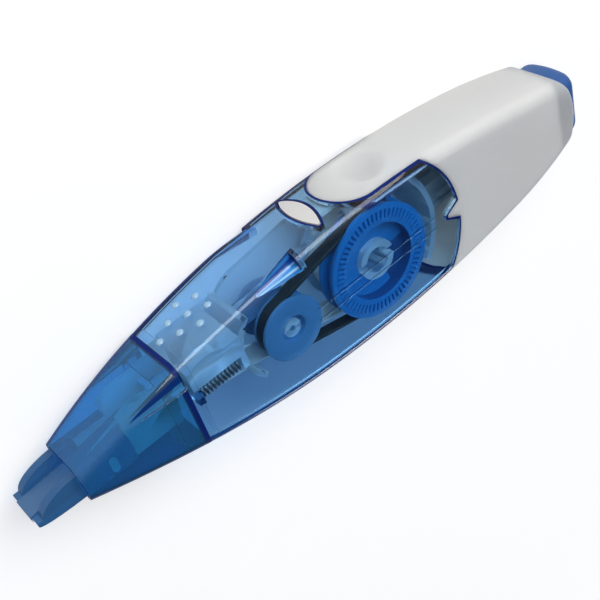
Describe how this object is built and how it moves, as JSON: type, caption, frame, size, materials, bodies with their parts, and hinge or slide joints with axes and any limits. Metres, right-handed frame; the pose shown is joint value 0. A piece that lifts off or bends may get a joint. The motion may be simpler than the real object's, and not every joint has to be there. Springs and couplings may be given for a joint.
{
  "type": "correction tape",
  "caption": "Pen-like correction tape with a clear body, white tail, knock button that draws the tip back, and a belt-driven pair of tape reels.",
  "frame": {"origin": "middle of the bounding box at the flat back side that the part lies on", "axes": "+X from the tip to the knock button, +Y to the thumb side, +Z out of the shown flat side"},
  "size_m": [0.1336, 0.0312, 0.017],
  "materials": {
    "clear_shell": "clear, faintly blue",
    "nose_blue": "clear, deep blue",
    "white_shell": "satin white",
    "button_blue": "gloss blue",
    "frame_clear": "clear pale blue",
    "tip_blue": "clear mid blue",
    "reel_blue": "gloss blue",
    "spool_blue": "light blue",
    "core_white": "natural white",
    "rod_white": "natural white",
    "belt_black": "matt black",
    "washer_black": "matt dark grey",
    "steel": "drawn wire",
    "tape_white": "matt white film",
    "liner": "waxed liner film"
  },
  "bodies": {
    "casing": {"front_shell": "clear_shell", "nose_cone": "nose_blue", "rear_shell": "white_shell", "return_spring": "steel"},
    "carriage": {"cartridge_frame": "frame_clear", "tip_head": "tip_blue", "feed_guide_pin": "core_white", "return_guide_pin": "core_white", "drive_belt": "belt_black", "feed_tape": "tape_white", "return_tape": "liner"},
    "supply_reel": {"supply_pulley": "reel_blue", "supply_core": "core_white", "clutch_washer": "washer_black", "supply_tape_roll": "tape_white"},
    "take_up_reel": {"take_up_spool": "spool_blue", "take_up_tape_roll": "liner"},
    "knock": {"knock_button": "button_blue", "push_rod": "rod_white"},
    "latch": {"release_latch": "white_shell"},
    "follower": {"lock_follower": "steel"}
  },
  "joints": [
    {"name": "carriage_slide", "type": "slide", "parent": "casing", "child": "carriage", "axis": [1, 0, 0], "range_m": [-0.001, 0.0095], "deforming": ["return_spring"]},
    {"name": "knock_slide", "type": "slide", "parent": "casing", "child": "knock", "axis": [1, 0, 0], "range_m": [-0.001, 0.0095]},
    {"name": "supply_spin", "type": "hinge", "parent": "carriage", "child": "supply_reel", "pos_m": [0.00865, 0, 0.0085], "axis": [0, 0, 1], "continuous": true},
    {"name": "take_up_spin", "type": "hinge", "parent": "carriage", "child": "take_up_reel", "pos_m": [-0.01265, 0, 0.0085], "axis": [0, 0, 1], "continuous": true},
    {"name": "latch_press", "type": "hinge", "parent": "casing", "child": "latch", "pos_m": [0.00685, 0.013, 0.0085], "axis": [0, 0, 1], "range_deg": [0, 6], "stiffness_Nm_per_rad": 0.01},
    {"name": "lock_swing", "type": "hinge", "parent": "casing", "child": "follower", "pos_m": [0.0417, 0, 0.0085], "axis": [0, 0, 1], "range_deg": [-1.5, 12.8]}
  ],
  "couplings": [
    {"joint": "knock_slide", "follows": "carriage_slide", "ratio": 1},
    {"joint": "take_up_spin", "follows": "supply_spin", "ratio": 1.8174},
    {"joint": "lock_swing", "follows": "carriage_slide", "rad_per_m": 23.153}
  ]
}
